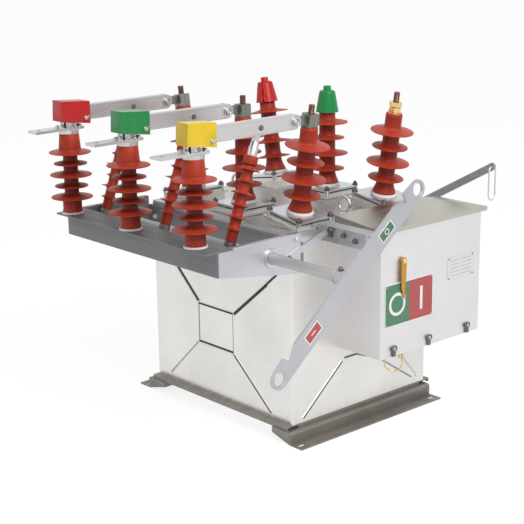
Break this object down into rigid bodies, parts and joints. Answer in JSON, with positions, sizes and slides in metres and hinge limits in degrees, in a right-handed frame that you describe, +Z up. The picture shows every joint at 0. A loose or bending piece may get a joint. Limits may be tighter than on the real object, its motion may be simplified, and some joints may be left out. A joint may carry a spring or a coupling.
{
  "type": "pole-mounted vacuum circuit breaker",
  "caption": "Outdoor high-voltage vacuum circuit breaker: stainless tank with leaning red bushings, knife isolating switch with hand lever, side mechanism box and base beams.",
  "frame": {"origin": "on the floor, below the middle of the tank", "axes": "+X along the three phases towards the mechanism box, +Y from the knife switch towards the rear bushings, +Z up"},
  "size_m": [1.166, 1.227, 1.0785],
  "materials": {
    "galvanized_base": "folded stainless plate with a dull grey surface",
    "polished_stainless": "polished stainless sheet with long soft reflections",
    "plated_steel": "zinc-plated steel",
    "gasket_rubber": "black sealing rubber",
    "flange_steel": "milled steel plate, plated",
    "white_collar": "white moulded sealing ring",
    "red_silicone": "brick-red silicone rubber with a soft sheen",
    "copper_stud": "threaded copper stud, slightly browned",
    "brass": "bright brass",
    "red_cap": "red moulded cap",
    "green_cap": "green moulded cap",
    "yellow_cap": "yellow moulded cap",
    "silvered_copper": "tin-plated copper",
    "brushed_stainless": "brushed stainless sheet",
    "shaft_steel": "turned steel tube, plated",
    "enamel_plate": "enamelled plate, green and red halves with plain symbols",
    "etched_plate": "bare etched plate with ruled lines"
  },
  "bodies": {
    "frame": {"base_beam_left": "galvanized_base", "base_beam_right": "galvanized_base", "base_angles": "galvanized_base", "base_rails": "galvanized_base", "tank_body": "polished_stainless", "tank_cover": "polished_stainless", "lifting_rings": "plated_steel", "bushing_seats": "polished_stainless", "flange_gaskets": "gasket_rubber", "bushing_flanges": "flange_steel", "bushing_collars": "white_collar", "bushing_front_left": "red_silicone", "bushing_front_middle": "red_silicone", "bushing_front_right": "red_silicone", "bushing_rear_left": "red_silicone", "bushing_rear_middle": "red_silicone", "bushing_rear_right": "red_silicone", "terminal_studs": "copper_stud", "stud_nuts": "brass", "terminal_cap_red": "red_cap", "terminal_cap_green": "green_cap", "clamp_blocks": "silvered_copper", "post_insulator_left": "red_silicone", "post_insulator_middle": "red_silicone", "post_insulator_right": "red_silicone", "terminal_bars": "silvered_copper", "tray_front": "brushed_stainless", "tray_arm_left": "brushed_stainless", "tray_arm_right": "brushed_stainless", "tray_back": "brushed_stainless", "support_strut": "brushed_stainless", "lever_bracket": "brushed_stainless", "shaft_bearings": "plated_steel", "mechanism_box": "brushed_stainless", "mechanism_lid": "brushed_stainless", "position_plate": "enamel_plate", "nameplate": "etched_plate", "box_latches": "plated_steel", "charging_shaft": "plated_steel", "trip_rod": "plated_steel"},
    "drive": {"operating_shaft": "shaft_steel", "operating_lever": "brushed_stainless", "lever_labels": "enamel_plate"},
    "blade_left": {"knife_blade_left": "silvered_copper", "contact_hood_left": "red_cap"},
    "rod_left": {"pull_rod_left": "red_silicone"},
    "blade_middle": {"knife_blade_middle": "silvered_copper", "contact_hood_middle": "green_cap"},
    "rod_middle": {"pull_rod_middle": "red_silicone"},
    "blade_right": {"knife_blade_right": "silvered_copper", "contact_hood_right": "yellow_cap"},
    "rod_right": {"pull_rod_right": "red_silicone"},
    "charging_arm": {"charging_lever": "brushed_stainless"},
    "hanging_link": {"charging_link": "brushed_stainless"},
    "pointer": {"position_pointer": "brass"},
    "pull_ring": {"trip_ring": "brass"}
  },
  "joints": [
    {"name": "shaft_turn", "type": "hinge", "parent": "frame", "child": "drive", "pos_m": [0, -0.45, 0.648], "axis": [-1, 0, 0], "range_deg": [0, 70]},
    {"name": "blade_left_hinge", "type": "hinge", "parent": "frame", "child": "blade_left", "pos_m": [-0.32, -0.275, 1.032], "axis": [-1, 0, 0], "range_deg": [0, 46.5]},
    {"name": "rod_left_pivot", "type": "hinge", "parent": "blade_left", "child": "rod_left", "pos_m": [-0.32, -0.415, 1.03], "axis": [-1, 0, 0], "range_deg": [-50.4, 0]},
    {"name": "blade_middle_hinge", "type": "hinge", "parent": "frame", "child": "blade_middle", "pos_m": [0, -0.275, 1.032], "axis": [-1, 0, 0], "range_deg": [0, 46.5]},
    {"name": "rod_middle_pivot", "type": "hinge", "parent": "blade_middle", "child": "rod_middle", "pos_m": [0, -0.415, 1.03], "axis": [-1, 0, 0], "range_deg": [-50.4, 0]},
    {"name": "blade_right_hinge", "type": "hinge", "parent": "frame", "child": "blade_right", "pos_m": [0.32, -0.275, 1.032], "axis": [-1, 0, 0], "range_deg": [0, 46.5]},
    {"name": "rod_right_pivot", "type": "hinge", "parent": "blade_right", "child": "rod_right", "pos_m": [0.32, -0.415, 1.03], "axis": [-1, 0, 0], "range_deg": [-50.4, 0]},
    {"name": "charging_turn", "type": "hinge", "parent": "frame", "child": "charging_arm", "pos_m": [0.235, 0.402, 0.655], "axis": [0, 1, 0], "range_deg": [0, 60]},
    {"name": "link_turn", "type": "hinge", "parent": "charging_arm", "child": "hanging_link", "pos_m": [0.55722, 0.402, 0.83068], "axis": [0, 1, 0], "range_deg": [-60, 0]},
    {"name": "pointer_turn", "type": "hinge", "parent": "frame", "child": "pointer", "pos_m": [0.5435, -0.0065, 0.582], "axis": [1, 0, 0], "range_deg": [0, 40]},
    {"name": "ring_pull", "type": "slide", "parent": "frame", "child": "pull_ring", "axis": [0, 0, -1], "range_m": [0, 0.015], "stiffness_N_per_m": 400}
  ],
  "couplings": [
    {"joint": "blade_left_hinge", "follows": "shaft_turn", "ratio": 0.6629},
    {"joint": "rod_left_pivot", "follows": "shaft_turn", "ratio": -0.719},
    {"joint": "blade_middle_hinge", "follows": "shaft_turn", "ratio": 0.6629},
    {"joint": "rod_middle_pivot", "follows": "shaft_turn", "ratio": -0.719},
    {"joint": "blade_right_hinge", "follows": "shaft_turn", "ratio": 0.6629},
    {"joint": "rod_right_pivot", "follows": "shaft_turn", "ratio": -0.719},
    {"joint": "link_turn", "follows": "charging_turn", "ratio": -1}
  ]
}
